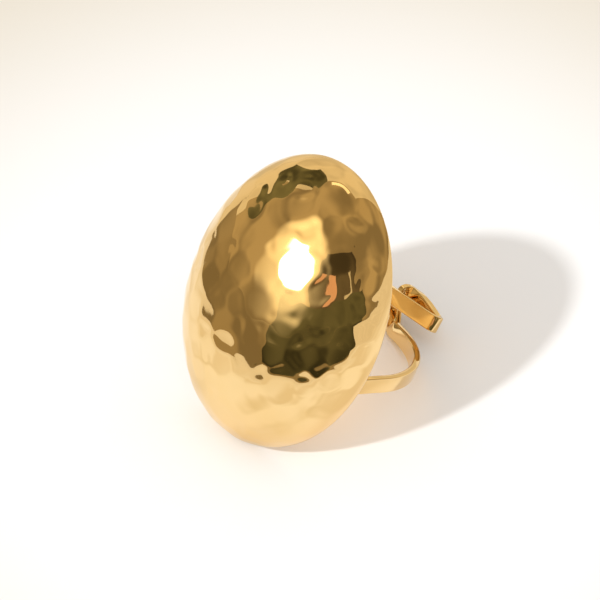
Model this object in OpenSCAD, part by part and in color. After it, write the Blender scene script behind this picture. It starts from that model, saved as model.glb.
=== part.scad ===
// Dome ring: a hollow oval dome with soft hammer marks, soldered to one flat strip.
// The strip goes round the finger and makes one small loop over itself at the palm.
// The ring lies on its side, on the dome's lower end and on the band's lower edge.
// Ring axes before it is laid down: X across the finger, Y along it, Z up through the dome.

/* [Dome] */
// Length of the dome, along the finger
dome_len = 30; // [26:0.5:34]
// Width of the dome, across the finger
dome_wid = 22.2; // [21.6:0.1:26]
// Height of the dome, from its rim to its crown
dome_high = 7.7; // [6:0.1:10]
// Thickness of the dome's metal
dome_wall = 0.9; // [0.7:0.05:1.2]
// Width of the flat at the dome's lower end, on which it stands
foot_wid = 3.8; // [1:0.1:5]

/* [Hammer marks] */
// Width of one hammer mark
mark_wid = 2.7; // [2:0.1:4]
// Depth of one hammer mark
mark_deep = 0.12; // [0:0.01:0.2]
// Border that is left plain inside the rim, seen from above
plain_edge = 1.2; // [0.6:0.1:3]

/* [Band] */
// Inner diameter of the band
band_in = 19; // [17:0.1:19.6]
// Width of the strip, along the finger
strip_wid = 1.65; // [1.2:0.05:2]
// Thickness of the strip
strip_thick = 0.7; // [0.5:0.05:0.9]
// Depth of the band's centre below the dome's rim
band_drop = 6.9; // [6:0.1:9]
// Distance of the strip's low run from the dome's middle, towards its lower end
low_run = 4.2; // [3:0.1:5]
// Angle round the band at which its arms turn straight towards the dome
arm_ang = 100; // [92:1:108]

/* [Palm loop] */
// Rise of the strip from its low run to the run that passes over it
loop_rise = 2.8; // [2.4:0.1:3.4]
// Angle round the band at which the far side's strip has left its low run
far_ang = 22; // [18:1:30]
// Angle round the band at which the near side's strip has left its low run
near_ang = 13; // [12:1:16]
// Angle round the band of the loop's tip
tip_ang = 26.5; // [24:0.5:30]
// Fall of the strip between the palm and the loop's tip
tip_fall = 0.4; // [0.2:0.1:0.8]
// Clear gap between the strip's two layers at the tip
tip_gap = 0.16; // [0.14:0.02:0.4]
// Distance between the two layers' middles at the loop's curled end
curl_high = 2.1; // [2.05:0.05:2.6]
// Lean of the strip's upper edge away from the finger on the loop's straight run, in degrees
strip_lean = 14; // [0:1:20]

/* [Hidden] */
gold = "#d9a548";

// Counts of steps round the dome, up it, inside it, and along each bend of the strip
round_steps = 96;
rise_steps = 26;
inner_steps = 9;
bend_steps = 6;

// Half sizes of the dome
half_len = dome_len / 2;
half_wid = dome_wid / 2;
foot_len = half_len * sqrt(1 - pow(foot_wid / dome_wid, 2));

// The hammer marks lie on a sunflower spiral, with this share of the dome each
mark_share = 0.62 * mark_wid * mark_wid;
mark_count = round(PI * (half_len - plain_edge) * (half_wid - plain_edge) / mark_share);
golden_turn = 137.508;

// Radii of the band and levels of the strip's middle line
inner_r = band_in / 2;
outer_r = inner_r + strip_thick;
mid_r = inner_r + strip_thick / 2;
low_lev = -low_run;
high_lev = low_lev + loop_rise;

// The ring lies on the foot and on the lower edge of each side's low run, at its palm end.
// The far side's run is as much lower as it needs to touch the floor with the near side's.
function depth_at(ang) = band_drop + outer_r * cos(ang);
lean_slope = (foot_len + low_lev - strip_wid / 2) / depth_at(near_ang);
far_lev = lean_slope * depth_at(far_ang) - foot_len + strip_wid / 2;

// The swept part of the strip is this much slimmer on each face than the turned part,
// and reaches this many degrees into it
seam = 0.015;
lap_ang = 2.5;

// Radial places of the loop's layers, measured from the band's middle line
pass_gap = 0.48;
pass_out = strip_thick + pass_gap;
tip_out = strip_thick + tip_gap;
curl_rad = (curl_high - pass_out) / 2;

// The loop's straight run leaves the band's circle this many degrees before the palm. At the tip
// the strip folds back by a little less than half a turn. The arch back starts softly, rises by
// arch_lift to its peak at this share of its length, and leans and twists by angles of its own.
leave_ang = 6;
fold_turn = 158;
curl_lean = -20;
arch_twist = 20;
arch_lift = 0.72;
arch_peak = 0.85;
arch_start = 0.2;

// The arch ends at this angle, folds slantwise and goes down a neck. The neck bends edgewise by
// this much towards the near side, and back again where it meets the low run.
curl_ang = 5.2;
neck_round = 1.02;
neck_turn = 60;

// Points on an oval half dome: u is the height angle, v goes round from the lower end
function on_dome(u, v, inset) =
    [(half_wid - inset) * cos(u) * sin(v),
     -(half_len - inset) * cos(u) * cos(v),
     (dome_high - inset) * sin(u)];

function outward(p) =
    let (n = [p.x / pow(half_wid, 2), p.y / pow(half_len, 2), p.z / pow(dome_high, 2)])
    n / norm(n);

// Middles of the hammer marks, spread evenly over the oval inside the plain border
marks = [for (i = [0 : mark_count - 1])
    let (r = sqrt((i + 0.5) / mark_count),
         x = (half_wid - plain_edge) * r * sin(i * golden_turn),
         y = (half_len - plain_edge) * r * cos(i * golden_turn))
    [x, y, dome_high * sqrt(1 - pow(x / half_wid, 2) - pow(y / half_len, 2))]];

function nearest(p) = min([for (m = marks) norm(p - m)]);

// A mark is a shallow bowl, and neighbouring bowls meet in a soft ridge
function dent(p) = mark_deep * max(0, 1 - pow(2 * nearest(p) / mark_wid, 2));

function skin(u, v) =
    let (p = on_dome(u, v, 0),
         q = u == 0 ? p : p - dent(p) * outward(p))
    [q.x, max(q.y, -foot_len), q.z];

outer_skin = [for (j = [0 : rise_steps - 1], i = [0 : round_steps - 1])
    skin(90 * j / rise_steps, 360 * i / round_steps)];
inner_skin = [for (j = [0 : inner_steps - 1], i = [0 : round_steps - 1])
    on_dome(90 * j / inner_steps, 360 * i / round_steps, dome_wall)];

// Faces of a belt between two rings of points, which start at a and b
function belt(a, b) = [for (i = [0 : round_steps - 1])
    let (k = (i + 1) % round_steps)
    each [[a + i, b + i, a + k], [a + k, b + i, b + k]]];

function cap(a, top) = [for (i = [0 : round_steps - 1]) [a + i, top, a + (i + 1) % round_steps]];

function flipped(faces) = [for (f = faces) [f[0], f[2], f[1]]];

module dome() {
    inner_start = len(outer_skin);
    crown = inner_start + len(inner_skin);
    outer_faces = concat(
        [for (j = [0 : rise_steps - 2]) each belt(j * round_steps, (j + 1) * round_steps)],
        cap((rise_steps - 1) * round_steps, crown));
    inner_faces = concat(
        [for (j = [0 : inner_steps - 2])
            each belt(inner_start + j * round_steps, inner_start + (j + 1) * round_steps)],
        cap(inner_start + (inner_steps - 1) * round_steps, crown + 1));
    polyhedron(
        concat(outer_skin, inner_skin,
            [[0, 0, dome_high - dent([0, 0, dome_high])], [0, 0, dome_high - dome_wall]]),
        concat(outer_faces, flipped(inner_faces), flipped(belt(0, inner_start))));
}

// Where the arms may be: anywhere below the rim, and above it up to the middle of the dome's metal
module arm_limit() {
    steps = 48;
    rows = 10;
    points = [for (j = [0 : rows - 1], i = [0 : steps - 1])
        on_dome(90 * j / rows, 360 * i / steps, dome_wall / 2)];
    last = (rows - 1) * steps;
    faces = concat(
        [for (j = [0 : rows - 2], i = [0 : steps - 1])
            let (k = (i + 1) % steps, a = j * steps)
            each [[a + i, a + steps + i, a + k], [a + k, a + steps + i, a + steps + k]]],
        [for (i = [0 : steps - 1]) [last + i, len(points), last + (i + 1) % steps]],
        [[for (i = [0 : steps - 1]) i]]);
    polyhedron(concat(points, [[0, 0, dome_high - dome_wall / 2]]), faces);
    translate([-outer_r, -half_len, -band_drop - outer_r])
        cube([2 * outer_r, dome_len, band_drop + outer_r + dome_wall / 2]);
}

// A place on the band: angle from the palm towards the near side, radius and level
function at(ang, rad, lev) = [rad * sin(ang), lev, -band_drop - rad * cos(ang)];

// A turned run of the strip on one level, from one angle to another
module turned_run(from_ang, to_ang, lev) {
    rotate([-90, 0, 0])
        rotate([0, 0, 90 - to_ang])
            rotate_extrude(angle = to_ang - from_ang, $fn = 96)
                translate([inner_r, lev - strip_wid / 2])
                    square([strip_thick, strip_wid]);
}

// A straight arm, from the end of its turned run into the dome's metal
module arm(lev) {
    lap = 0.4;
    slim = [strip_thick - 2 * seam, strip_wid - 2 * seam, band_drop + dome_high];
    translate(at(arm_ang, mid_r, lev))
        rotate([0, 90 - arm_ang, 0])
            translate([-slim.x / 2, -slim.y / 2, -lap])
                cube(slim);
}

// One edgewise bend of the strip as two equal arcs: distance along and rise at each step
function bend(run, rise) =
    let (turn = 2 * atan(rise / run),
         rad = run / (2 * sin(turn)))
    [for (i = [0 : 2 * bend_steps])
        let (first = i <= bend_steps,
             a = turn * (first ? i : 2 * bend_steps - i) / bend_steps,
             x = rad * sin(a),
             y = rad * (1 - cos(a)))
        first ? [x, y] : [run - x, rise - y]];

function arc_deg(length, rad) = length / rad * 180 / PI;
function arc_len(deg, rad) = deg * rad * PI / 180;
function ease(t) = let (c = max(0, min(1, t))) c * c * (3 - 2 * c);
function mix(a, b, t) = a + (b - a) * t;

// One row of the swept run: its point, the way the strip's outer face looks, and the lean
function row(ang, rad, lev, turn = 0, lean = 0) =
    [at(ang, rad, lev), [sin(ang - turn), 0, -cos(ang - turn)], lean];

// A row placed from the straight run: distance along it and distance outside it
function straight_row(along, out, lev, turn, lean) =
    let (a = atan2(along, mid_r + out))
    row(a - leave_ang, norm([along, mid_r + out]), lev, a + turn, lean);

far_bend = [for (b = bend(arc_len(far_ang - leave_ang, mid_r), high_lev - far_lev))
    row(-far_ang + arc_deg(b.x, mid_r), mid_r, far_lev + b.y)];

run_len = mid_r * tan(tip_ang + leave_ang);
front_run = [for (i = [1 : 2 * bend_steps])
    let (t = i / (2 * bend_steps),
         fall = max(0, t * run_len / mid_r - tan(leave_ang)))
    straight_row(t * run_len, 0, high_lev - tip_fall * fall, 0, strip_lean * ease(2.5 * t))];

// The fold at the tip turns about the leaning strip's own edge
tip_start = front_run[2 * bend_steps - 1][0];
tip_ahead = [cos(leave_ang), 0, -sin(leave_ang)];
tip_outer = [-sin(leave_ang) * cos(strip_lean), -sin(strip_lean), -cos(leave_ang) * cos(strip_lean)];
tip_turn = [for (i = [1 : bend_steps])
    let (a = fold_turn * i / bend_steps)
    [tip_start + tip_out / 2 * (sin(a) * tip_ahead + (1 - cos(a)) * tip_outer),
     cos(a) * tip_outer - sin(a) * tip_ahead, 0]];

tip_end = tip_turn[bend_steps - 1][0];
back_ang = atan2(tip_end.x, -tip_end.z - band_drop);
back_rad = norm([tip_end.x, tip_end.z + band_drop]);
function arch_level(t) =
    let (u = t * t / (t + arch_start) / arch_peak)
    tip_end.y + arch_lift * (2 * u - u * u);
curl_lev = arch_level(1);
back_dip = -sin(fold_turn) * sin(strip_lean) * arc_len(back_ang - curl_ang, back_rad);
back_run = [for (i = [1 : 2 * bend_steps])
    let (t = pow(i / (2 * bend_steps), 1.3))
    row(mix(back_ang, curl_ang, t), mix(back_rad, mid_r + curl_high, sin(90 * t)),
        arch_level(t) + back_dip * t * pow(1 - t, 2), 180,
        mix(-strip_lean, curl_lean, t) + arch_twist * sin(180 * t))];

// A ribbon's slanting fold: the strip comes along the band and leaves down the finger
even = sqrt(0.5);
slant_len = even * PI * curl_rad;
curl_turn = [for (i = [1 : 2 * bend_steps])
    let (t = i / (2 * bend_steps),
         a = 180 * t,
         along = arc_len(curl_ang, mid_r) - even * curl_rad * (PI * t + sin(a)),
         ang = arc_deg(along, mid_r),
         out = [sin(ang), 0, -cos(ang)],
         side = [cos(ang), 0, sin(ang)])
    [at(ang, mid_r + curl_high - curl_rad * (1 - cos(a)), curl_lev - even * curl_rad * (PI * t - sin(a))),
     sin(a) * even * (side - [0, 1, 0]) - cos(a) * out,
     curl_lean * (1 - t)]];

// The neck's way: distance along the band and level
neck_start = arc_len(curl_ang, mid_r) - slant_len;
neck_top = curl_lev - slant_len;
neck_end = arc_len(near_ang, mid_r);
neck_bend = [for (i = [1 : bend_steps]) let (a = neck_turn * i / bend_steps)
    [neck_start + neck_round * (1 - cos(a)), neck_top - neck_round * sin(a)]];
neck_last = [for (i = [0 : 2]) let (a = (90 - neck_turn) * (1 - i / 2))
    [neck_end - neck_round * sin(a), low_lev + neck_round * (1 - cos(a))]];
neck_way = concat(
    neck_bend,
    [for (t = [0.15, 0.4, 0.7]) mix(neck_bend[bend_steps - 1], neck_last[0], t)],
    neck_last);

// The neck stands farther out where it passes the straight run
neck_run = [for (p = neck_way)
    let (a = arc_deg(p.x, mid_r))
    row(a, mid_r + pass_out * (1 - ease(a / near_ang)), p.y)];

swept_rows = concat(
    [row(-far_ang - lap_ang, mid_r, far_lev)],
    far_bend, front_run, tip_turn, back_run, curl_turn, neck_run,
    [row(near_ang + lap_ang, mid_r, low_lev)]);

// The strip's four corners at one row of the swept run
function corners(i) =
    let (last = len(swept_rows) - 1,
         r = swept_rows[i],
         along = swept_rows[min(i + 1, last)][0] - swept_rows[max(i - 1, 0)][0],
         t = along / norm(along),
         w0 = cross(t, r[1]) / norm(cross(t, r[1])),
         f0 = cross(w0, t),
         w = w0 * cos(r[2]) + f0 * sin(r[2]),
         f = f0 * cos(r[2]) - w0 * sin(r[2]),
         hw = strip_wid / 2 - seam,
         ht = strip_thick / 2 - seam)
    [for (c = [[-1, -1], [1, -1], [1, 1], [-1, 1]]) r[0] + c[0] * ht * f + c[1] * hw * w];

swept_points = [for (i = [0 : len(swept_rows) - 1]) each corners(i)];

module swept_run() {
    rings = len(swept_rows);
    last = 4 * (rings - 1);
    sides = [for (i = [0 : rings - 2], k = [0 : 3])
        let (a = 4 * i + k, b = 4 * i + (k + 1) % 4)
        each [[a, a + 4, b], [b, a + 4, b + 4]]];
    polyhedron(swept_points, concat(sides, [[0, 1, 2, 3]], [[last + 3, last + 2, last + 1, last]]));
}

module ring() {
    dome();
    translate([0, 0, -band_drop]) {
        turned_run(near_ang, arm_ang, low_lev);
        turned_run(-arm_ang, -far_ang, far_lev);
    }
    swept_run();
    intersection() {
        union() {
            arm(low_lev);
            mirror([1, 0, 0]) arm(far_lev);
        }
        arm_limit();
    }
}

// Laid down, the ring is pitched until the foot and the low runs' edges are level
pitch = 90 - atan(lean_slope);

function turned(p) =
    [p.x, p.y * cos(pitch) - p.z * sin(pitch), p.y * sin(pitch) + p.z * cos(pitch)];

// Points that hold the ring's outer size, turned as it lies
function edge_points(from_ang, to_ang, lev) = [for (a = [from_ang : 4 : to_ang], s = [-1, 1])
    at(a, outer_r, lev + s * strip_wid / 2)];
size_points = [for (p = concat(outer_skin, swept_points,
        edge_points(near_ang, arm_ang, low_lev), edge_points(-arm_ang, -far_ang, far_lev)))
    turned(p)];

function span(k) = let (v = [for (p = size_points) p[k]]) [min(v), max(v)];

span_x = span(0);
span_y = span(1);
lowest = span(2)[0];

module dome_ring() {
    color(gold)
        translate([-(span_x[0] + span_x[1]) / 2, -(span_y[0] + span_y[1]) / 2, -lowest])
            rotate([pitch, 0, 0])
                ring();
}

dome_ring();
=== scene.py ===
# %% [markdown]
# # A hammered dome ring
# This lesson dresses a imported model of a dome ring. On the real ring a goldsmith raises an oval
# dome from sheet, planishes it with a round-faced hammer, and solders one flat strip under it. The
# strip goes round the finger and makes a small loop over itself at the palm.
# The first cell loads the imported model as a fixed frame. Each piece made below goes where it says.

# %% Load the frame
import math

import bpy
import numpy as np
from mathutils import Matrix, Vector


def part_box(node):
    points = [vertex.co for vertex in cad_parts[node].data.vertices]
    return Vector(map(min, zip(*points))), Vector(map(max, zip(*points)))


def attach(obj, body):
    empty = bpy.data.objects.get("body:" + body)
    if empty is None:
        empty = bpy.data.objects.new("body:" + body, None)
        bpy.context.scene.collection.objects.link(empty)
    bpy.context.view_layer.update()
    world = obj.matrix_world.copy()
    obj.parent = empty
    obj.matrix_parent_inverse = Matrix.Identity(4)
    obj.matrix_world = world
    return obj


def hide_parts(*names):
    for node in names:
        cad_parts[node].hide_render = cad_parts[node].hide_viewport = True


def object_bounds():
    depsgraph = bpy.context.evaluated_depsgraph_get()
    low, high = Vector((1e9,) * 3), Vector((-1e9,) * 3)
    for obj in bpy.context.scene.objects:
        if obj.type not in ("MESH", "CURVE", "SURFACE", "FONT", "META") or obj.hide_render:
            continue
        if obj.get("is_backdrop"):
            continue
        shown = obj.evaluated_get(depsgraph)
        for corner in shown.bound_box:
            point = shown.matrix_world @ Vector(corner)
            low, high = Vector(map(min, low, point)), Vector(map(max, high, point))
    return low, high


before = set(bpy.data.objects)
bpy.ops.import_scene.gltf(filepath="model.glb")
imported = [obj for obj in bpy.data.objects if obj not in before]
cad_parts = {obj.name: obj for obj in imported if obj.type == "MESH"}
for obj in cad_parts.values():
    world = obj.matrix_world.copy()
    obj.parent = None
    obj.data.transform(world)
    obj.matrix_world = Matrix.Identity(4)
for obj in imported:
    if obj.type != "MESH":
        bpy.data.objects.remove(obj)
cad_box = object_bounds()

print("CAD box in mm:", [[round(1000 * x, 2) for x in corner] for corner in cad_box])

# %% [markdown]
# ## The sizes of the ring
# A maker works from a few sizes, so they come first, in millimetres, and every shape below is worked
# out from them. The ring's own axes are X across the finger, Y along it and Z up through the dome.
# One matrix lays the finished ring on its side and turns millimetres into Blender's metres.

# %% Sizes in millimetres
MM = 0.001
DOME_LEN = 30.0
DOME_WID = 22.2
DOME_HIGH = 7.7
DOME_WALL = 0.9
FOOT_WID = 3.8
BAND_IN = 19.0
STRIP_WID = 1.65
STRIP_THICK = 0.7
BAND_DROP = 6.9
LOW_RUN = 4.2
ARM_ANG = 100.0
LOOP_RISE = 2.8
FAR_ANG = 22.0
NEAR_ANG = 13.0
TIP_ANG = 26.5
TIP_FALL = 0.4
LEAVE_ANG = 6.0
TIP_GAP = 0.16
ARCH_LIFT = 0.72
ARCH_PEAK = 0.72
ARCH_START = 0.05
CURL_ANG = 5.2
CURL_HIGH = 2.1
STRIP_LEAN = 14.0

HALF_LEN = DOME_LEN / 2
HALF_WID = DOME_WID / 2
FOOT_LEN = HALF_LEN * math.sqrt(1 - (FOOT_WID / DOME_WID) ** 2)
INNER_R = BAND_IN / 2
OUTER_R = INNER_R + STRIP_THICK
MID_R = INNER_R + STRIP_THICK / 2
LOW_LEV = -LOW_RUN
HIGH_LEV = LOW_LEV + LOOP_RISE


def depth_at(angle):
    """Depth of the band's outer face below the rim, at an angle from the palm."""
    return BAND_DROP + OUTER_R * math.cos(math.radians(angle))


LEAN_SLOPE = (FOOT_LEN + LOW_LEV - STRIP_WID / 2) / depth_at(NEAR_ANG)
FAR_LEV = LEAN_SLOPE * depth_at(FAR_ANG) - FOOT_LEN + STRIP_WID / 2
PITCH = math.radians(90) - math.atan(LEAN_SLOPE)

low_corner, high_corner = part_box("dome_ring")
turn_down = Matrix.Rotation(PITCH, 4, "X")
print("packed node in mm:", [round(1000 * v, 2) for v in (*low_corner, *high_corner)])


# %% [markdown]
# ## Laying the ring down
# The ring rests on the dome's lower end and on the band, so it is pitched about X. Where it stands
# then follows from the frame: the foot's corner touches the floor, and the box's middle is above the
# frame's origin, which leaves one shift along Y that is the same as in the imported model.

# %% The matrix from ring axes to the floor
SHIFT_BACK = -3.274
foot = turn_down @ Vector((0, -FOOT_LEN, 0))
shift = Vector((0, SHIFT_BACK, -foot.z))
LAY = Matrix.Scale(MM, 4) @ Matrix.Translation(shift) @ turn_down
print("pitch %.2f degrees, shift in mm" % math.degrees(PITCH), [round(v, 3) for v in shift])


def laid(point):
    """A point in ring axes and millimetres, laid down in metres."""
    return LAY @ Vector(point)


def new_piece(name, verts, faces):
    """A mesh object at the origin, whose points are given in ring axes and millimetres."""
    mesh = bpy.data.meshes.new(name)
    mesh.from_pydata([laid(v) for v in verts], [], faces)
    mesh.validate()
    mesh.shade_smooth()
    piece = bpy.data.objects.new(name, mesh)
    bpy.context.scene.collection.objects.link(piece)
    return piece


# %% [markdown]
# ## The camera
# The photograph was taken from in front and above, with a long lens, so lines that run away from
# the camera hardly draw together. The camera is placed by an orbit round the dome's middle.

# %% Camera
DOME_MIDDLE = laid((0, 0, 0))
VIEW_ELEVATION = 47.0
VIEW_AZIMUTH = 44.6
VIEW_ROLL = -0.5
VIEW_DISTANCE = 0.4248
LENS = 266.9
SENSOR = 36.0
SHIFT_X = 0.0143
SHIFT_Y = 0.0023


def direction(azimuth, elevation):
    """Unit vector at an azimuth from +X towards +Y and an elevation, both in degrees."""
    az, el = math.radians(azimuth), math.radians(elevation)
    return Vector((math.cos(el) * math.cos(az), math.cos(el) * math.sin(az), math.sin(el)))


toward_camera = direction(VIEW_AZIMUTH - 90, VIEW_ELEVATION)
camera_data = bpy.data.cameras.new("camera")
camera_data.lens = LENS
camera_data.sensor_width = SENSOR
camera_data.shift_x = SHIFT_X
camera_data.shift_y = SHIFT_Y
camera_data.clip_start = 0.01
camera_data.clip_end = 20
camera = bpy.data.objects.new("camera", camera_data)
bpy.context.scene.collection.objects.link(camera)
look = toward_camera.to_track_quat("Z", "Y").to_matrix().to_4x4()
camera.matrix_world = (Matrix.Translation(DOME_MIDDLE + VIEW_DISTANCE * toward_camera)
                       @ look @ Matrix.Rotation(math.radians(VIEW_ROLL), 4, "Z"))
bpy.context.scene.camera = camera
print("camera at", [round(v, 3) for v in camera.location])

# %% [markdown]
# ## Floor, light and what the metal sees
# Polished gold has almost no colour of its own: it shows what stands around it. A photographer
# therefore lights the floor and stands cards round a ring. The world here is plain and pale. The
# cards are seen only by reflections, so they neither hide the ring nor shade the floor. The floor
# has painted shade: it turns darker and warmer away from the ring, and reflections alone see
# soft clouds of painted shade on it.

# %% Floor and soft light
scene = bpy.context.scene
scene.view_settings.view_transform = "Standard"


def node_material(name):
    """A material with its node tree and its Principled shader."""
    material = bpy.data.materials.new(name)
    material.use_nodes = True
    tree = material.node_tree
    return material, tree, tree.nodes["Principled BSDF"]


def wire(tree, socket, value):
    """Link a socket to another one, or set it to a plain value."""
    if isinstance(value, bpy.types.NodeSocket):
        tree.links.new(value, socket)
    else:
        socket.default_value = value


def add_node(tree, kind, **inputs):
    """A node of a kind, with named inputs set to values or linked to sockets."""
    node = tree.nodes.new(kind)
    for name, value in inputs.items():
        wire(tree, node.inputs[name.replace("_", " ")], value)
    return node


def math_node(tree, kind, operation, *values):
    """A maths or vector maths node, with its inputs in order."""
    node = tree.nodes.new(kind)
    node.operation = operation
    for socket, value in zip(node.inputs, values):
        wire(tree, socket, value)
    return node


def smooth_step(tree, value, low, high):
    """A smooth rise from 0 to 1 while the value goes from low to high."""
    node = add_node(tree, "ShaderNodeMapRange", Value=value, From_Min=low, From_Max=high)
    node.interpolation_type = "SMOOTHSTEP"
    return node.outputs["Result"]


def colour_mix(tree, share, first, second):
    """The colour at a share of the way between two colours."""
    node = tree.nodes.new("ShaderNodeMix")
    node.data_type = "RGBA"
    for k, value in ((0, share), (6, first), (7, second)):
        wire(tree, node.inputs[k], value)
    return node.outputs[2]


FLOOR_SIZE = 3.0
FLOOR_COLOUR = (0.88, 0.875, 0.87, 1)
# Painted shade: the floor's colour turns darker and warmer away from the ring
FLOOR_FAR_SHADE = (0.66, 0.60, 0.50, 1)
FLOOR_FADE = (0.026, 0.075)
# Painted shade seen only in reflections: soft clouds of this colour darken the floor for glossy rays
FLOOR_SHADE = (0.73, 0.67, 0.57, 1)
FLOOR_CLOUDS = 75.0
CLOUD_EDGE = (0.42, 0.68)
FLOOR_ROUGH = 0.9
bpy.ops.mesh.primitive_plane_add(size=FLOOR_SIZE)
floor = bpy.context.object
floor.name = "floor"
floor_paint, floor_tree, floor_shader = node_material("matt_white")
floor_place = floor_tree.nodes.new("ShaderNodeTexCoord").outputs["Object"]
floor_away = math_node(floor_tree, "ShaderNodeVectorMath", "LENGTH", floor_place)
floor_falloff_shade = smooth_step(floor_tree, floor_away.outputs["Value"], *FLOOR_FADE)
floor_base = colour_mix(floor_tree, floor_falloff_shade, FLOOR_COLOUR, FLOOR_FAR_SHADE)
# Painted shade for reflections: noise clouds darken the floor's colour, but only for glossy rays
floor_rays = floor_tree.nodes.new("ShaderNodeLightPath")
floor_shade_cloud = add_node(floor_tree, "ShaderNodeTexNoise", Vector=floor_place,
                       Scale=FLOOR_CLOUDS, Detail=1.0)
floor_level = smooth_step(floor_tree, floor_shade_cloud.outputs["Fac"], *CLOUD_EDGE)
floor_seen = math_node(floor_tree, "ShaderNodeMath", "MULTIPLY",
                       floor_level, floor_rays.outputs["Is Glossy Ray"])
floor_shaded_colour = colour_mix(floor_tree, floor_seen.outputs[0], floor_base, FLOOR_SHADE)
wire(floor_tree, floor_shader.inputs["Base Color"], floor_shaded_colour)
floor_shader.inputs["Roughness"].default_value = FLOOR_ROUGH
floor_shader.inputs["Specular IOR Level"].default_value = 0.0
floor.data.materials.append(floor_paint)
floor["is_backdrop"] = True

FILL = 0.88
FILL_COLOUR = (1, 0.97, 0.93, 1)
world = bpy.data.worlds.new("pale_room")
world.use_nodes = True
world.node_tree.nodes["Background"].inputs["Color"].default_value = FILL_COLOUR
world.node_tree.nodes["Background"].inputs["Strength"].default_value = FILL
scene.world = world

KEY_AZIMUTH = 257.0
KEY_ELEVATION = 45.6
KEY_STRENGTH = 1.75
KEY_SPREAD = 3.5
KEY_COLOUR = (0.96, 0.98, 1.0)
key_data = bpy.data.lights.new("key", "SUN")
key_data.energy = KEY_STRENGTH
key_data.angle = math.radians(KEY_SPREAD)
key_data.color = KEY_COLOUR
key = bpy.data.objects.new("key", key_data)
key.visible_glossy = False
toward_key = direction(KEY_AZIMUTH, KEY_ELEVATION)
key.matrix_world = toward_key.to_track_quat("Z", "Y").to_matrix().to_4x4()
scene.collection.objects.link(key)

# The hollow throws a little warm light on the floor behind the palm
BOUNCE_POWER = 7.0e-4
BOUNCE_SIZE = 12 * MM
BOUNCE_COLOUR = (1.0, 0.60, 0.26)
BOUNCE_FROM = (0, -3, -1.5)
BOUNCE_ON = (8, 9, 0)
bounce_data = bpy.data.lights.new("bounce", "AREA")
bounce_data.size = BOUNCE_SIZE
bounce_data.energy = BOUNCE_POWER
bounce_data.color = BOUNCE_COLOUR
bounce = bpy.data.objects.new("bounce", bounce_data)
bounce.visible_glossy = False
bounce_start = laid(BOUNCE_FROM)
bounce_way = MM * Vector(BOUNCE_ON) - bounce_start
bounce_turn = (-bounce_way).to_track_quat("Z", "Y").to_matrix().to_4x4()
bounce.matrix_world = Matrix.Translation(bounce_start) @ bounce_turn
scene.collection.objects.link(bounce)


# %% [markdown]
# ## Cards
# Each card is a patch of a sphere round the ring, between two azimuths and two elevations. Nearer
# cards cover farther ones, as real ones would. The low skirt stands where the white paper ends. The
# bright box and its halo have soft round edges, so they are worked out in the cards' shared shader.

# %% Cards that only reflections see
ROOM = (0.44, 0.335, 0.18)
WARM_WHITE = (1.0, 0.85, 0.59)
HALO_WARM = (1.0, 0.88, 0.62)
PLAIN_WHITE = (1.0, 0.97, 0.9)
ROOM_MIDDLE = Vector((0, 0, DOME_MIDDLE.z))


def cosines(wide, narrow):
    """Cosines of two angles in degrees, between which a glow fades in."""
    return math.cos(math.radians(wide)), math.cos(math.radians(narrow))


HALO_REACH = cosines(32, 4)
BOX_REACH = cosines(15, 11)
BOX_MIDDLE = direction(264, 36.5)
HALO_GLOW = 1.2
BOX_GLOW = 9.0
DRIFT_EDGE = (0.35, 0.65)
DRIFT_SCALE = 2.2


def room_air_group():
    """The glow of the room by direction: a slow drift, a soft halo and the bright box itself."""
    group = bpy.data.node_groups.new("room_air", "ShaderNodeTree")
    for name, kind in (("Direction", "NodeSocketVector"), ("Key", "NodeSocketVector"),
                       ("Drift size", "NodeSocketFloat")):
        group.interface.new_socket(name, in_out="INPUT", socket_type=kind)
    for name in ("Drift", "Halo", "Box"):
        group.interface.new_socket(name, in_out="OUTPUT", socket_type="NodeSocketFloat")
    start = group.nodes.new("NodeGroupInput")
    end = group.nodes.new("NodeGroupOutput")
    way = math_node(group, "ShaderNodeVectorMath", "NORMALIZE", start.outputs["Direction"])
    near = math_node(group, "ShaderNodeVectorMath", "DOT_PRODUCT", way.outputs[0],
                     start.outputs["Key"])
    drift = add_node(group, "ShaderNodeTexNoise", Vector=way.outputs[0],
                     Scale=start.outputs["Drift size"], Detail=1.0)
    for name, source, reach in (("Drift", drift.outputs["Fac"], DRIFT_EDGE),
                                ("Halo", near.outputs["Value"], HALO_REACH),
                                ("Box", near.outputs["Value"], BOX_REACH)):
        wire(group, end.inputs[name], smooth_step(group, source, *reach))
    return group


room_air = room_air_group()


def glow_material(name, colour, strength, shade):
    """A glow that drifts softly over the card; shade is the share lost in its darkest parts."""
    material = bpy.data.materials.new(name)
    material.use_nodes = True
    tree = material.node_tree
    tree.nodes.clear()
    place = tree.nodes.new("ShaderNodeTexCoord")
    air = tree.nodes.new("ShaderNodeGroup")
    air.node_tree = room_air
    air.inputs["Key"].default_value = BOX_MIDDLE
    air.inputs["Drift size"].default_value = DRIFT_SCALE
    wire(tree, air.inputs["Direction"], place.outputs["Object"])
    level = add_node(tree, "ShaderNodeMapRange", Value=air.outputs["Drift"],
                     To_Min=strength * (1 - shade), To_Max=strength)
    glow = add_node(tree, "ShaderNodeEmission", Color=(*colour, 1), Strength=level.outputs["Result"])
    total = glow.outputs["Emission"]
    for part, shine, paint in (("Halo", HALO_GLOW, HALO_WARM), ("Box", BOX_GLOW, PLAIN_WHITE)):
        bright = math_node(tree, "ShaderNodeMath", "MULTIPLY", air.outputs[part], shine)
        extra = add_node(tree, "ShaderNodeEmission", Color=(*paint, 1), Strength=bright.outputs[0])
        both = tree.nodes.new("ShaderNodeAddShader")
        wire(tree, both.inputs[0], total)
        wire(tree, both.inputs[1], extra.outputs["Emission"])
        total = both.outputs[0]
    out = tree.nodes.new("ShaderNodeOutputMaterial")
    tree.links.new(total, out.inputs["Surface"])
    return material


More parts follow.
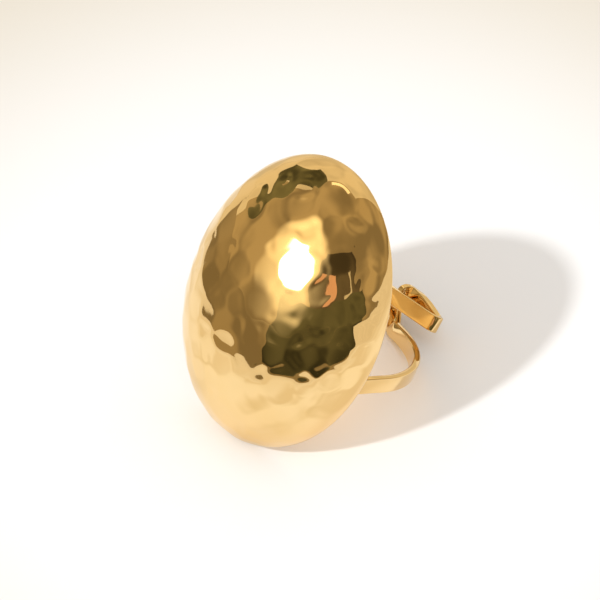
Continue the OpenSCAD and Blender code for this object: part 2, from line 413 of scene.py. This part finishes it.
def card(name, az, el, radius, colour, strength, shade, step=4.0):
    """A patch of a sphere round the ring that is seen by reflections alone."""
    cols = max(2, math.ceil((az[1] - az[0]) / step) + 1)
    rows = max(2, math.ceil((el[1] - el[0]) / step) + 1)
    verts = [radius * direction(az[0] + (az[1] - az[0]) * i / (cols - 1),
                                el[0] + (el[1] - el[0]) * j / (rows - 1))
             for j in range(rows) for i in range(cols)]
    faces = [(j * cols + i, j * cols + i + 1, (j + 1) * cols + i + 1, (j + 1) * cols + i)
             for j in range(rows - 1) for i in range(cols - 1)]
    mesh = bpy.data.meshes.new(name)
    mesh.from_pydata(verts, [], faces)
    mesh.materials.append(glow_material(name, colour, strength, shade))
    piece = bpy.data.objects.new(name, mesh)
    piece.location = ROOM_MIDDLE
    scene.collection.objects.link(piece)
    for ray in ("camera", "diffuse", "shadow", "transmission", "volume_scatter"):
        setattr(piece, "visible_" + ray, False)
    piece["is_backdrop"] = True
    return piece


DARK = (0.75, 0.68, 0.32)
PEACH = (1.0, 0.55, 0.33)
SKIRT_R = 0.066
# Name, azimuths, elevations, radius, colour, strength, and the share lost in the darkest parts
CARDS = (
    ("room", (0, 360), (0, 90), 0.60, ROOM, 1.2, 0.5),
    ("room_skirt", (74, 342), (-11.5, 9), SKIRT_R, ROOM, 0.9, 0.4),
    ("rear_sweep", (74, 190), (0, 62), 0.50, WARM_WHITE, 0.9, 0.25),
    ("rear_sweep_low", (74, 184), (-11.5, 9), SKIRT_R * 0.98, WARM_WHITE, 0.9, 0.2),
    ("window", (84, 136), (64, 69), 0.48, WARM_WHITE, 1.6, 0.2),
    ("dark_shelf", (146, 184), (44, 62), 0.48, DARK, 0.3, 0.75),
    ("dark_shelf_end", (156, 200), (16, 44), 0.48, DARK, 0.3, 0.75),
    ("back_of_camera", (292, 346), (0, 52), 0.42, ROOM, 0.34, 0.6),
    ("dark_figure", (266, 352), (0, 21), 0.40, DARK, 0.19, 0.75),
    ("dark_figure_low", (268, 342), (-9, 9), SKIRT_R * 0.96, DARK, 0.17, 0.75),
    ("hand", (300, 312), (24, 38), 0.38, PEACH, 0.85, 0.3),
    ("hand_edge", (330, 334), (22, 40), 0.38, WARM_WHITE, 0.7, 0.2),
)
for row in CARDS:
    card(*row)
print(len(CARDS), "cards stand round the ring")

# %% [markdown]
# ## Gold
# Real plating is smooth, but never perfect: its colour drifts a little, and handling leaves hair
# scratches and a softer polish in places. One node group makes these masks from Object coordinates.

# %% Gold
def polish_group():
    """Masks of a hand-polished metal: a slow drift and fine hair scratches, both from 0 to 1."""
    group = bpy.data.node_groups.new("hand_polish", "ShaderNodeTree")
    for name, kind, default in (("Place", "NodeSocketVector", None),
                                ("Drift size", "NodeSocketFloat", 180),
                                ("Hair size", "NodeSocketFloat", 900)):
        socket = group.interface.new_socket(name, in_out="INPUT", socket_type=kind)
        if default is not None:
            socket.default_value = default
    for name in ("Drift", "Hair"):
        group.interface.new_socket(name, in_out="OUTPUT", socket_type="NodeSocketFloat")
    start = group.nodes.new("NodeGroupInput")
    end = group.nodes.new("NodeGroupOutput")
    drift = add_node(group, "ShaderNodeTexNoise", Vector=start.outputs["Place"],
                     Scale=start.outputs["Drift size"], Detail=2.0)
    hair = add_node(group, "ShaderNodeTexNoise", Vector=start.outputs["Place"],
                    Scale=start.outputs["Hair size"], Detail=6.0, Distortion=1.5)
    group.links.new(drift.outputs["Fac"], end.inputs["Drift"])
    group.links.new(hair.outputs["Fac"], end.inputs["Hair"])
    return group


GOLD_DEEP = (0.87, 0.61, 0.27, 1)
GOLD_PALE = (0.92, 0.68, 0.345, 1)
GOLD_ROUGH = (0.02, 0.07)
gold, gold_tree, gold_shader = node_material("polished_gold")
gold_shader.inputs["Metallic"].default_value = 1.0
place = gold_tree.nodes.new("ShaderNodeTexCoord")
polish = gold_tree.nodes.new("ShaderNodeGroup")
polish.node_tree = polish_group()
wire(gold_tree, polish.inputs["Place"], place.outputs["Object"])
tint = colour_mix(gold_tree, polish.outputs["Drift"], GOLD_DEEP, GOLD_PALE)
wire(gold_tree, gold_shader.inputs["Base Color"], tint)
rough = add_node(gold_tree, "ShaderNodeMapRange", Value=polish.outputs["Hair"],
                 To_Min=GOLD_ROUGH[0], To_Max=GOLD_ROUGH[1])
wire(gold_tree, gold_shader.inputs["Roughness"], rough.outputs["Result"])


# %% [markdown]
# ## The dome's plain shell
# A dome made of rings and a pole pinches its reflections at the crown. A square grid that is pressed
# into a round one has no pole, so it is used here: once for the outside and once for the hollow, with
# a belt of faces along the rim. The attribute "hammered" says how far the hammer may reach.

# %% Plain shell of the dome
GRID = 190
PLAIN_EDGE = 1.2
FADE_START = 0.4 * PLAIN_EDGE
EDGE_FADE = 2.2


def on_grid(i, j):
    """A place on the unit disc, from a square grid pressed round."""
    x = 2 * i / GRID - 1
    y = 2 * j / GRID - 1
    return x * math.sqrt(1 - y * y / 2), y * math.sqrt(1 - x * x / 2)


def on_dome(x, y, inset):
    """The point of an inset half oval over a place on the unit disc."""
    reach = min(1.0, math.hypot(x, y))
    turn = math.atan2(x, y)
    rise = math.radians(90) * (1 - reach)
    flat = math.cos(rise)
    return ((HALF_WID - inset) * flat * math.sin(turn),
            (HALF_LEN - inset) * flat * math.cos(turn),
            (DOME_HIGH - inset) * math.sin(rise))


def border(count):
    """Grid places once round the edge, in order."""
    south = [(i, 0) for i in range(count)]
    east = [(count, j) for j in range(count)]
    north = [(count - i, count) for i in range(count)]
    west = [(0, count - j) for j in range(count)]
    return south + east + north + west


def dome_shell():
    """The plain dome: an outer skin, a hollow and a belt of faces that joins them at the rim."""
    side = GRID + 1
    spots = [on_grid(i, j) for j in range(side) for i in range(side)]
    outer = [on_dome(x, y, 0) for x, y in spots]
    outer = [(x, max(y, -FOOT_LEN), z) for x, y, z in outer]
    inner = [on_dome(x, y, DOME_WALL) for x, y in spots]
    quads = [(j * side + i, j * side + i + 1, (j + 1) * side + i + 1, (j + 1) * side + i)
             for j in range(GRID) for i in range(GRID)]
    far = len(outer)
    hollow = [tuple(far + k for k in reversed(q)) for q in quads]
    edge = [j * side + i for i, j in border(GRID)]
    rim = [(edge[k], edge[k - 1], far + edge[k - 1], far + edge[k]) for k in range(len(edge))]
    shell = new_piece("hammered_dome", outer + inner, quads + hollow + rim)
    reach = np.zeros(2 * far, np.float32)
    for k, (x, y) in enumerate(spots):
        from_rim = (1 - min(1.0, math.hypot(x, y))) * math.radians(90) * HALF_WID
        reach[k] = min(1.0, max(0.0, (from_rim - FADE_START) / EDGE_FADE))
    shell.data.attributes.new("hammered", "FLOAT", "POINT").data.foreach_set("value", reach)
    return shell


dome = dome_shell()
print("plain dome:", len(dome.data.vertices), "points,", len(dome.data.polygons), "faces")


# %% [markdown]
# ## Hammer marks
# A blow of the hammer leaves a round, almost flat facet, and it wipes out what was under it. Points
# stand for the blows: the large ones on the crown were charted, and the rest are scattered by
# the nodes. A repeat zone lays them down one after another, each with a soft edge. Nodes are right
# for this, because the number, size, flatness and seed of the marks stay named inputs.

# %% Node tree of the hammer marks
class NodeMaths:
    """Short ways to add the maths nodes of one tree."""

    def __init__(self, tree):
        self.tree = tree

    def wire(self, socket, value):
        wire(self.tree, socket, value)

    def maths(self, operation, *values):
        return math_node(self.tree, "ShaderNodeMath", operation, *values).outputs[0]

    def vector(self, operation, *values):
        return math_node(self.tree, "ShaderNodeVectorMath", operation, *values)

    def named(self, name, kind="FLOAT"):
        node = self.tree.nodes.new("GeometryNodeInputNamedAttribute")
        node.data_type = kind
        node.inputs["Name"].default_value = name
        return node.outputs["Attribute"]

    def store(self, geometry, name, value, kind="FLOAT"):
        node = self.tree.nodes.new("GeometryNodeStoreNamedAttribute")
        node.data_type = kind
        node.inputs["Name"].default_value = name
        self.wire(node.inputs["Geometry"], geometry)
        self.wire(node.inputs["Value"], value)
        return node.outputs["Geometry"]

    def random(self, low, high, seed):
        node = self.tree.nodes.new("FunctionNodeRandomValue")
        node.data_type = "FLOAT"
        self.wire(node.inputs[2], low)
        self.wire(node.inputs[3], high)
        self.wire(node.inputs["Seed"], seed)
        return node.outputs[1]

    def sample(self, geometry, value, index, kind="FLOAT"):
        node = self.tree.nodes.new("GeometryNodeSampleIndex")
        node.data_type = kind
        self.wire(node.inputs["Geometry"], geometry)
        self.wire(node.inputs["Value"], value)
        self.wire(node.inputs["Index"], index)
        return node.outputs[0]


MARK_INPUTS = (
    ("Geometry", "NodeSocketGeometry", None),
    ("Charted blows", "NodeSocketObject", None),
    ("Spacing", "NodeSocketFloat", 1.9 * MM),
    ("Smallest mark", "NodeSocketFloat", 1.3 * MM),
    ("Largest mark", "NodeSocketFloat", 2.1 * MM),
    ("Least flat", "NodeSocketFloat", 0.3),
    ("Most flat", "NodeSocketFloat", 0.85),
    ("Edge start", "NodeSocketFloat", 0.45),
    ("Edge end", "NodeSocketFloat", 1.3),
    ("Seed", "NodeSocketInt", 7),
    ("Gold", "NodeSocketMaterial", None),
)
SKIN_RADIUS = 13 * MM
BLOWS_PER_SQUARE_METRE = 4.0e6
STRUCK_FROM = 0.3


def hammer_tree():
    """The Geometry Nodes tree that strikes every blow into the skin."""
    tree = bpy.data.node_groups.new("hammer_marks", "GeometryNodeTree")
    for name, kind, default in MARK_INPUTS:
        socket = tree.interface.new_socket(name, in_out="INPUT", socket_type=kind)
        if default is not None:
            socket.default_value = default
    tree.interface.new_socket("Geometry", in_out="OUTPUT", socket_type="NodeSocketGeometry")
    n = NodeMaths(tree)
    start = tree.nodes.new("NodeGroupInput")
    end = tree.nodes.new("NodeGroupOutput")
    place = tree.nodes.new("GeometryNodeInputPosition").outputs[0]

    # Scattered blows fall where the hammer reaches, no closer together than the spacing
    blows = tree.nodes.new("GeometryNodeDistributePointsOnFaces")
    blows.distribute_method = "POISSON"
    n.wire(blows.inputs["Mesh"], start.outputs["Geometry"])
    n.wire(blows.inputs["Distance Min"], start.outputs["Spacing"])
    blows.inputs["Density Max"].default_value = BLOWS_PER_SQUARE_METRE
    n.wire(blows.inputs["Density Factor"], n.maths("GREATER_THAN", n.named("hammered"), STRUCK_FROM))
    n.wire(blows.inputs["Seed"], start.outputs["Seed"])
    scattered = n.store(blows.outputs["Points"], "radius_of_mark",
                        n.random(start.outputs["Smallest mark"], start.outputs["Largest mark"], 1))

    # The charted blows come after them, so they lie whole on top
    charted = tree.nodes.new("GeometryNodeObjectInfo")
    charted.transform_space = "RELATIVE"
    n.wire(charted.inputs["Object"], start.outputs["Charted blows"])
    as_points = tree.nodes.new("GeometryNodeMeshToPoints")
    n.wire(as_points.inputs["Mesh"], charted.outputs["Geometry"])
    joined = tree.nodes.new("GeometryNodeJoinGeometry")
    tree.links.new(as_points.outputs[0], joined.inputs[0])
    tree.links.new(scattered, joined.inputs[0])
    points = n.store(joined.outputs[0], "flatness_of_mark",
                     n.random(start.outputs["Least flat"], start.outputs["Most flat"], 2))
    count = tree.nodes.new("GeometryNodeAttributeDomainSize")
    count.component = "POINTCLOUD"
    n.wire(count.inputs["Geometry"], points)

    # One pass for each blow: inside its soft edge the skin takes the blow's own shallow facet
    first = tree.nodes.new("GeometryNodeRepeatInput")
    last = tree.nodes.new("GeometryNodeRepeatOutput")
    first.pair_with_output(last)
    last.repeat_items.new("INT", "Blow")
    n.wire(first.inputs["Iterations"], count.outputs["Point Count"])
    n.wire(first.inputs["Geometry"], n.store(start.outputs["Geometry"], "bowl", 0.0))
    n.wire(first.inputs["Blow"], 0)
    blow = first.outputs["Blow"]
    middle = n.sample(points, place, blow, "FLOAT_VECTOR")
    radius = n.sample(points, n.named("radius_of_mark"), blow)
    flatness = n.sample(points, n.named("flatness_of_mark"), blow)
    away = n.maths("DIVIDE", n.vector("DISTANCE", place, middle).outputs["Value"], radius)
    flattened = n.maths("MULTIPLY", n.maths("MULTIPLY", radius, radius), flatness)
    deep = n.maths("DIVIDE", flattened, 2 * SKIN_RADIUS)
    facet = n.maths("MULTIPLY", deep, n.maths("SUBTRACT", 1.0, n.maths("MULTIPLY", away, away)))
    mask = tree.nodes.new("ShaderNodeMapRange")
    mask.interpolation_type = "SMOOTHSTEP"
    n.wire(mask.inputs["Value"], away)
    n.wire(mask.inputs["From Min"], start.outputs["Edge start"])
    n.wire(mask.inputs["From Max"], start.outputs["Edge end"])
    mask.inputs["To Min"].default_value = 1.0
    mask.inputs["To Max"].default_value = 0.0
    change = n.maths("MULTIPLY", mask.outputs["Result"], n.maths("SUBTRACT", facet, n.named("bowl")))
    struck = n.maths("ADD", n.named("bowl"), change)
    n.wire(last.inputs["Geometry"], n.store(first.outputs["Geometry"], "bowl", struck))
    n.wire(last.inputs["Blow"], n.maths("ADD", blow, 1))

    # The skin sinks along its own plain outward direction
    sink = n.maths("MULTIPLY", n.maths("MAXIMUM", n.named("bowl"), 0.0), n.named("hammered"))
    plain = tree.nodes.new("GeometryNodeInputNormal").outputs[0]
    moved = tree.nodes.new("GeometryNodeSetPosition")
    n.wire(moved.inputs["Geometry"], last.outputs["Geometry"])
    inward = n.vector("SCALE", plain)
    n.wire(inward.inputs["Scale"], n.maths("MULTIPLY", sink, -1.0))
    n.wire(moved.inputs["Offset"], inward.outputs[0])
    real = tree.nodes.new("GeometryNodeRealizeInstances")
    n.wire(real.inputs[0], moved.outputs[0])
    paint = tree.nodes.new("GeometryNodeSetMaterial")
    n.wire(paint.inputs["Geometry"], real.outputs[0])
    n.wire(paint.inputs["Material"], start.outputs["Gold"])
    n.wire(end.inputs[0], paint.outputs[0])
    return tree


# %% [markdown]
# ## Striking the dome
# The nodes are given their inputs by name, run once, and made plain, so the dome ends as an ordinary
# mesh. The charted blows are rows of a place across, a place along and a radius, in millimetres.

# %% Strike the dome
def set_input(modifier, name, value):
    """Set one named input of a Geometry Nodes modifier by its socket's identifier."""
    for item in modifier.node_group.interface.items_tree:
        if item.name == name and item.in_out == "INPUT":
            modifier[item.identifier] = value


def made_plain(piece):
    """The piece with its modifiers' result as a plain mesh."""
    graph = bpy.context.evaluated_depsgraph_get()
    result = bpy.data.meshes.new_from_object(piece.evaluated_get(graph))
    piece.modifiers.clear()
    piece.data = result
    return piece


CHARTED_BLOWS = (
    (0.4, 4.9, 1.6), (1.8, -1.5, 1.1), (3.9, 3.4, 1.6), (4.4, -2.4, 1.2), (7.6, -0.8, 1.4),
    (9.4, 0.2, 1.2), (6.3, 8.6, 1.4), (9.0, 7.4, 1.3), (8.0, -4.4, 1.2), (4.3, -10.4, 1.3),
    (-0.9, 12.7, 1.3), (-3.5, 12.0, 0.8), (-5.2, 9.7, 1.0), (-6.8, 7.4, 1.2), (1.2, 1.7, 1.9),
    (4.6, 0.5, 1.4), (7.1, 2.7, 1.2), (2.8, 13.2, 2.1), (1.2, 7.8, 1.4), (3.3, 6.2, 1.8),
)


def blow_points():
    """A mesh of lone points on the dome, one for each charted blow, with its mark's radius."""
    places = []
    for x, y, _ in CHARTED_BLOWS:
        rise = math.sqrt(max(0.0, 1 - (x / HALF_WID) ** 2 - (y / HALF_LEN) ** 2))
        places.append((x, y, DOME_HIGH * rise))
    piece = new_piece("charted_blows", places, [])
    sizes_of_marks = [radius * MM for _, _, radius in CHARTED_BLOWS]
    radii = piece.data.attributes.new("radius_of_mark", "FLOAT", "POINT")
    radii.data.foreach_set("value", sizes_of_marks)
    return piece


charted_blows = blow_points()
marks = dome.modifiers.new("hammer_marks", "NODES")
marks.node_group = hammer_tree()
for name, kind, value in MARK_INPUTS:
    if value is not None:
        set_input(marks, name, value)
set_input(marks, "Charted blows", charted_blows)
set_input(marks, "Gold", gold)
made_plain(dome)
bpy.data.objects.remove(charted_blows)
dome.data.shade_smooth()
depths = np.zeros(len(dome.data.vertices), np.float32)
dome.data.attributes["bowl"].data.foreach_get("value", depths)
outer_depths = depths[: len(depths) // 2]
print(len(CHARTED_BLOWS), "charted blows; deepest mark %.3f mm, mean %.3f mm"
      % (depths.max() / MM, outer_depths.mean() / MM))


# %% [markdown]
# ## The strip
# The band is one flat strip with softly broken edges. It is swept along its way in short steps. Each
# row of the way is an angle from the palm, a radius, a level along the finger, how far the strip's
# outer face is turned over, and how far its upper edge leans out. At the palm the strip runs straight
# past the finger, folds sharply back over itself, curls down and goes on at its low level.

# %% The strip's way
BEND_STEPS = 14
PASS_GAP = 0.48
NECK_ROUND = 1.02
NECK_TURN = 60.0
FOLD_TURN = 158.0
EVEN = math.sqrt(0.5)
TIP_OUT = STRIP_THICK + TIP_GAP
PASS_OUT = STRIP_THICK + PASS_GAP
CURL_RAD = (CURL_HIGH - PASS_OUT) / 2
CURL_LEAN = -20.0
ARCH_TWIST = 20.0
LEAN_HASTE = 2.5
DIP_FADE = 4
NECK_LINE_STEPS = 8
NECK_LAST_STEPS = 6
FAR_ARM_ROWS = 40
NEAR_ARM_ROWS = 44


def ease(t):
    """A soft start and a soft stop between 0 and 1."""
    t = max(0.0, min(1.0, t))
    return t * t * (3 - 2 * t)


def mix(a, b, t):
    """The value at a share t of the way from a to b."""
    return a + (b - a) * t


def arc_deg(length):
    """The angle round the band that a length of its middle line spans."""
    return math.degrees(length / MID_R)


def bend(degrees, rise):
    """An edgewise bend of the strip as two equal arcs: angle along and rise at each step."""
    run = math.radians(degrees) * MID_R
    turn = 2 * math.atan(rise / run)
    rad = run / (2 * math.sin(turn))
    half = [(rad * math.sin(turn * i / BEND_STEPS), rad * (1 - math.cos(turn * i / BEND_STEPS)))
            for i in range(BEND_STEPS + 1)]
    whole = half + [(run - x, rise - y) for x, y in reversed(half[:-1])]
    return [(arc_deg(x), y) for x, y in whole]


def at(angle, radius, level):
    """The point at an angle from the palm, a radius and a level along the finger."""
    a = math.radians(angle)
    return Vector((radius * math.sin(a), level, -BAND_DROP - radius * math.cos(a)))


def row(angle, radius, level, turn=0.0, lean=0.0):
    """One row of the way: its point, the way its outer face looks, and the lean."""
    a = math.radians(angle - turn)
    return (*at(angle, radius, level), math.sin(a), 0, -math.cos(a), lean)


def straight_row(along, out, level, turn, lean):
    """A row placed from the straight run: distance along it and distance outside it."""
    angle = math.degrees(math.atan2(along, MID_R + out)) - LEAVE_ANG
    return row(angle, math.hypot(along, MID_R + out), level, angle + LEAVE_ANG + turn, lean)


RUN_LEN = MID_R * math.tan(math.radians(TIP_ANG + LEAVE_ANG))


def front_rows():
    """From where the strip leaves the circle straight out to the tip."""
    rows = []
    for i in range(1, 2 * BEND_STEPS + 1):
        t = i / (2 * BEND_STEPS)
        fall = max(0, t * RUN_LEN / MID_R - math.tan(math.radians(LEAVE_ANG)))
        lean = STRIP_LEAN * ease(LEAN_HASTE * t)
        rows.append(straight_row(t * RUN_LEN, 0, HIGH_LEV - TIP_FALL * fall, 0, lean))
    return rows


def tip_rows():
    """The sharp fold at the tip, hardly wider than the metal, about the leaning strip's own edge."""
    a, b = math.radians(LEAVE_ANG), math.radians(STRIP_LEAN)
    ahead = Vector((math.cos(a), 0, -math.sin(a)))
    outer = Vector((-math.sin(a) * math.cos(b), -math.sin(b), -math.cos(a) * math.cos(b)))
    corner = Vector(front_rows()[-1][:3])
    rows = []
    for i in range(1, BEND_STEPS + 1):
        a = math.radians(FOLD_TURN * i / BEND_STEPS)
        point = corner + TIP_OUT / 2 * (math.sin(a) * ahead + (1 - math.cos(a)) * outer)
        rows.append((*point, *(math.cos(a) * outer - math.sin(a) * ahead), 0))
    return rows


def arch_level(t, tip_level):
    """Level along the arch, from the tip at 0 to the curl at 1: a soft start, then a flat arch."""
    u = min(1.0, t * t / (t + ARCH_START) / ARCH_PEAK)
    return tip_level + ARCH_LIFT * (2 * u - u * u)


CURL_LEV = arch_level(1, tip_rows()[-1][1])


def back_rows():
    """The arch from the tip back over the palm."""
    x, level, z = tip_rows()[-1][:3]
    start_ang = math.degrees(math.atan2(x, -z - BAND_DROP))
    start_rad = math.hypot(x, z + BAND_DROP)
    sink = math.sin(math.radians(FOLD_TURN)) * math.sin(math.radians(STRIP_LEAN))
    dip = -sink * math.radians(start_ang - CURL_ANG) * start_rad
    rows = []
    for i in range(1, 2 * BEND_STEPS + 1):
        t = i / (2 * BEND_STEPS)
        level_now = arch_level(t, level) + dip * t * (1 - t) ** DIP_FADE
        radius = mix(start_rad, MID_R + CURL_HIGH, math.sin(math.pi / 2 * t))
        lean = mix(-STRIP_LEAN, CURL_LEAN, t) + ARCH_TWIST * math.sin(math.pi * t)
        rows.append(row(mix(start_ang, CURL_ANG, t), radius, level_now, 180, lean))
    return rows


def curl_rows():
    """A ribbon's slanting fold: the strip comes along the band and leaves down the finger."""
    rows = []
    start = math.radians(CURL_ANG) * MID_R
    for i in range(1, 2 * BEND_STEPS + 1):
        t = i / (2 * BEND_STEPS)
        a = math.pi * t
        angle = arc_deg(start - EVEN * CURL_RAD * (a + math.sin(a)))
        point = at(angle, MID_R + CURL_HIGH - CURL_RAD * (1 - math.cos(a)),
                   CURL_LEV - EVEN * CURL_RAD * (a - math.sin(a)))
        out = at(angle, 1, 0) - at(0, 0, 0)
        side = Vector((-out.z, 0, out.x))
        face = -math.cos(a) * out + math.sin(a) * EVEN * (side - Vector((0, 1, 0)))
        rows.append((*point, *face, CURL_LEAN * (1 - t)))
    return rows


def neck_rows():
    """Down the neck, with one edgewise bend at its top and one where it meets the low run."""
    start = math.radians(CURL_ANG) * MID_R - EVEN * math.pi * CURL_RAD
    top = CURL_LEV - EVEN * math.pi * CURL_RAD
    end = math.radians(NEAR_ANG) * MID_R
    turns = [math.radians(NECK_TURN * i / BEND_STEPS) for i in range(1, BEND_STEPS + 1)]
    way = [(start + NECK_ROUND * (1 - math.cos(a)), top - NECK_ROUND * math.sin(a)) for a in turns]
    turns = [math.radians((90 - NECK_TURN) * (1 - i / NECK_LAST_STEPS))
             for i in range(NECK_LAST_STEPS + 1)]
    last = [(end - NECK_ROUND * math.sin(a), LOW_LEV + NECK_ROUND * (1 - math.cos(a))) for a in turns]
    (x0, y0), (x1, y1) = way[-1], last[0]
    shares = [i / NECK_LINE_STEPS for i in range(1, NECK_LINE_STEPS)]
    way += [(mix(x0, x1, t), mix(y0, y1, t)) for t in shares]
    rows = []
    for along, level in way + last:
        a = arc_deg(along)
        rows.append(row(a, MID_R + PASS_OUT * (1 - ease(a / NEAR_ANG)), level))
    return rows


def strip_rows():
    """The whole way: far arm and run, palm loop, near run and arm."""
    rise = bend(FAR_ANG - LEAVE_ANG, HIGH_LEV - FAR_LEV)
    rows = [row(a, MID_R, FAR_LEV) for a in np.linspace(-ARM_ANG, -FAR_ANG, FAR_ARM_ROWS)[:-1]]
    rows += [row(-FAR_ANG + a, MID_R, FAR_LEV + y) for a, y in rise]
    rows += front_rows() + tip_rows() + back_rows() + curl_rows() + neck_rows()
    rows += [row(a, MID_R, LOW_LEV) for a in np.linspace(NEAR_ANG, ARM_ANG, NEAR_ARM_ROWS)[1:]]
    return rows


# %% [markdown]
# The strip's section is a rectangle with rounded corners. The sweep carries it along with its broad
# face always square to the way. Its two ends are pushed up the straight arms until every line of the
# section meets the middle of the dome's metal, so no gap shows however the arms lean.

# %% Sweep the strip
EDGE_ROUND = 0.13
ROUND_STEPS = 4


def section():
    """The strip's section: places along its thickness and its width, once round."""
    places = []
    for k, (st, sw) in enumerate(((1, 1), (-1, 1), (-1, -1), (1, -1))):
        for i in range(ROUND_STEPS + 1):
            a = math.radians(90 * (k + i / ROUND_STEPS))
            places.append((st * (STRIP_THICK / 2 - EDGE_ROUND) + EDGE_ROUND * math.cos(a),
                           sw * (STRIP_WID / 2 - EDGE_ROUND) + EDGE_ROUND * math.sin(a)))
    return places


def to_metal(point, way):
    """The point moved along its way until it meets the middle of the dome's metal."""
    size = Vector((HALF_WID - DOME_WALL / 2, HALF_LEN - DOME_WALL / 2, DOME_HIGH - DOME_WALL / 2))
    p = Vector([point[k] / size[k] for k in range(3)])
    d = Vector([way[k] / size[k] for k in range(3)])
    a, b, c = d.dot(d), 2 * d.dot(p), p.dot(p) - 1
    return point + way * ((-b + math.sqrt(b * b - 4 * a * c)) / (2 * a))


ROW_STEP = 0.09
SMOOTH_PASSES = 3


def even_rows(rows):
    """The way's rows at even steps, with their small corners eased."""
    table = np.array(rows)
    steps = np.linalg.norm(np.diff(table[:, :3], axis=0), axis=1)
    length = np.concatenate([[0], np.cumsum(steps)])
    places = np.linspace(0, length[-1], round(length[-1] / ROW_STEP))
    even = np.column_stack([np.interp(places, length, column) for column in table.T])
    for _ in range(SMOOTH_PASSES):
        even[1:-1] = (even[:-2] + 2 * even[1:-1] + even[2:]) / 4
    return even


def strip_mesh():
    """Points and faces of the section swept along the way."""
    rows = even_rows(strip_rows())
    line = [Vector(values[:3]) for values in rows]
    outline = section()
    rings = []
    for i, values in enumerate(rows):
        ahead = line[min(i + 1, len(rows) - 1)] - line[max(i - 1, 0)]
        t = ahead.normalized()
        wide = t.cross(Vector(values[3:6])).normalized()
        flat = wide.cross(t)
        roll = Matrix.Rotation(math.radians(values[6]), 3, wide.cross(flat))
        rings.append([line[i] + roll @ (flat * p + wide * q) for p, q in outline])
    first_way = (line[0] - line[1]).normalized()
    last_way = (line[-1] - line[-2]).normalized()
    rings.insert(0, [to_metal(p, first_way) for p in rings[0]])
    rings.append([to_metal(p, last_way) for p in rings[-1]])
    m = len(outline)
    verts = [p for ring in rings for p in ring]
    faces = [(m * i + k, m * i + (k + 1) % m, m * (i + 1) + (k + 1) % m, m * (i + 1) + k)
             for i in range(len(rings) - 1) for k in range(m)]
    faces.append(tuple(reversed(range(m))))
    faces.append(tuple(m * (len(rings) - 1) + k for k in range(m)))
    return verts, faces


strip = new_piece("band_strip", *strip_mesh())
strip.data.materials.append(gold)
print("strip:", len(strip.data.vertices), "points")

# %% [markdown]
# ## Hang the pieces from the frame's body
# Both pieces are parts of one soldered solid in the imported model, so both take the place of that
# node, which is hidden, and move with its one body.

# %% Attach and finish
for piece in (dome, strip):
    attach(piece, "root")
    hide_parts("dome_ring")

sizes = {"cad": [list(corner) for corner in cad_box],
         "visual": [list(corner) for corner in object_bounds()]}
print("visual box in mm:", [[round(1000 * x, 2) for x in corner] for corner in sizes["visual"]])
